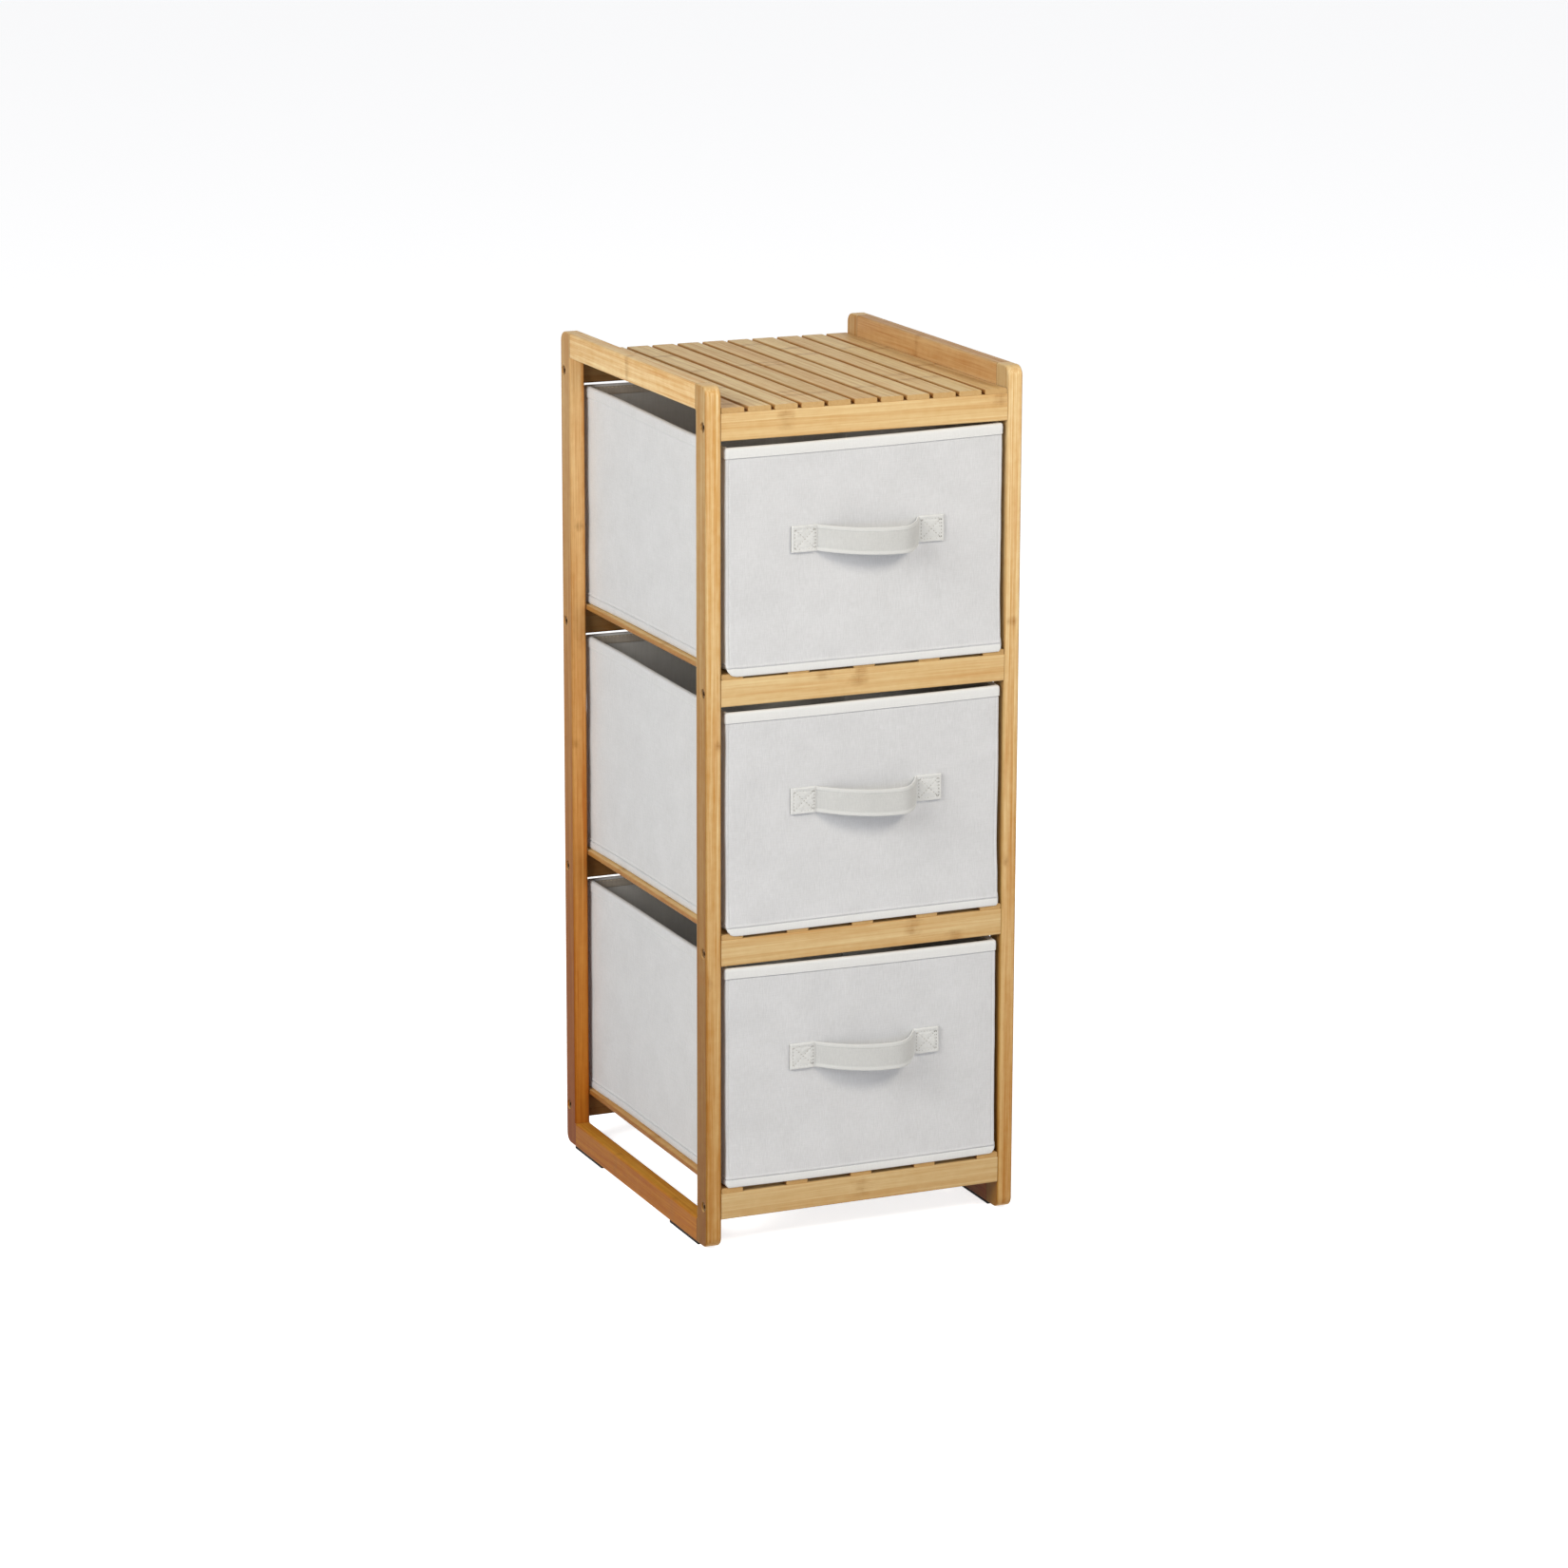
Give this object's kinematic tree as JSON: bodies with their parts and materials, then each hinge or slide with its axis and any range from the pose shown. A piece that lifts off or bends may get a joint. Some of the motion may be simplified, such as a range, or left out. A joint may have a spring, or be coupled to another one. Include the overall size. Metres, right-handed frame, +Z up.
{
  "type": "shelf unit with fabric storage boxes",
  "caption": "Narrow bamboo shelf unit with a slatted top between raised sides and open bays, each holding a folded fabric box that pulls out by a tape handle.",
  "frame": {"origin": "on the floor under the middle of the whole object, handles included", "axes": "+Z up, the front with the handles faces -Y, +X to the right seen from the front"},
  "size_m": [0.33, 0.3928, 0.85],
  "materials": {
    "bamboo_frame": "satin clear lacquer on laminated bamboo",
    "bamboo_cross_rails": "satin clear lacquer on laminated bamboo",
    "bamboo_slats": "satin clear lacquer on bamboo strip",
    "steel_bolts": "zinc plated",
    "brass_inserts": "turned",
    "wooden_dowels": "bare",
    "rubber_pads": "matt",
    "box_cloth": "linen look weave",
    "box_lining": "plain non-woven lining",
    "stiff_boards": "raw grey-brown board",
    "covered_base_board": "board covered in the lining cloth",
    "binding_tape": "folded woven binding",
    "handle_tape": "woven cotton tape"
  },
  "bodies": {
    "frame": {"left_front_post": "bamboo_frame", "left_back_post": "bamboo_frame", "right_front_post": "bamboo_frame", "right_back_post": "bamboo_frame", "left_top_rail": "bamboo_frame", "left_bottom_rail": "bamboo_frame", "right_top_rail": "bamboo_frame", "right_bottom_rail": "bamboo_frame", "bottom_front_cross_rail": "bamboo_cross_rails", "bottom_back_cross_rail": "bamboo_cross_rails", "lower_front_cross_rail": "bamboo_cross_rails", "lower_back_cross_rail": "bamboo_cross_rails", "upper_front_cross_rail": "bamboo_cross_rails", "upper_back_cross_rail": "bamboo_cross_rails", "top_front_cross_rail": "bamboo_cross_rails", "top_back_cross_rail": "bamboo_cross_rails", "top_slat_1": "bamboo_slats", "top_slat_2": "bamboo_slats", "top_slat_3": "bamboo_slats", "top_slat_4": "bamboo_slats", "top_slat_5": "bamboo_slats", "top_slat_6": "bamboo_slats", "top_slat_7": "bamboo_slats", "top_slat_8": "bamboo_slats", "top_slat_9": "bamboo_slats", "top_slat_10": "bamboo_slats", "top_slat_11": "bamboo_slats", "bottom_shelf_slats": "bamboo_slats", "lower_shelf_slats": "bamboo_slats", "upper_shelf_slats": "bamboo_slats", "frame_bolts": "steel_bolts", "threaded_inserts": "brass_inserts", "wooden_dowels": "wooden_dowels", "left_front_pad": "rubber_pads", "left_back_pad": "rubber_pads", "right_front_pad": "rubber_pads", "right_back_pad": "rubber_pads"},
    "bottom_box": {"bottom_box_shell": "box_cloth", "bottom_box_lining": "box_lining", "bottom_box_wall_boards": "stiff_boards", "bottom_box_top_binding": "binding_tape", "bottom_box_foot_binding": "binding_tape", "bottom_box_handle": "handle_tape"},
    "bottom_box_base": {"bottom_box_base_board": "covered_base_board"},
    "middle_box": {"middle_box_shell": "box_cloth", "middle_box_lining": "box_lining", "middle_box_wall_boards": "stiff_boards", "middle_box_top_binding": "binding_tape", "middle_box_foot_binding": "binding_tape", "middle_box_handle": "handle_tape"},
    "middle_box_base": {"middle_box_base_board": "covered_base_board"},
    "top_box": {"top_box_shell": "box_cloth", "top_box_lining": "box_lining", "top_box_wall_boards": "stiff_boards", "top_box_top_binding": "binding_tape", "top_box_foot_binding": "binding_tape", "top_box_handle": "handle_tape"},
    "top_box_base": {"top_box_base_board": "covered_base_board"}
  },
  "joints": [
    {"name": "bottom_box_pull_out", "type": "slide", "parent": "frame", "child": "bottom_box", "axis": [0, -1, 0], "range_m": [0, 0.37]},
    {"name": "bottom_box_base_lift", "type": "slide", "parent": "bottom_box", "child": "bottom_box_base", "axis": [0, 0, 1], "range_m": [0, 0.2]},
    {"name": "middle_box_pull_out", "type": "slide", "parent": "frame", "child": "middle_box", "axis": [0, -1, 0], "range_m": [0, 0.37]},
    {"name": "middle_box_base_lift", "type": "slide", "parent": "middle_box", "child": "middle_box_base", "axis": [0, 0, 1], "range_m": [0, 0.2]},
    {"name": "top_box_pull_out", "type": "slide", "parent": "frame", "child": "top_box", "axis": [0, -1, 0], "range_m": [0, 0.37]},
    {"name": "top_box_base_lift", "type": "slide", "parent": "top_box", "child": "top_box_base", "axis": [0, 0, 1], "range_m": [0, 0.2]}
  ]
}
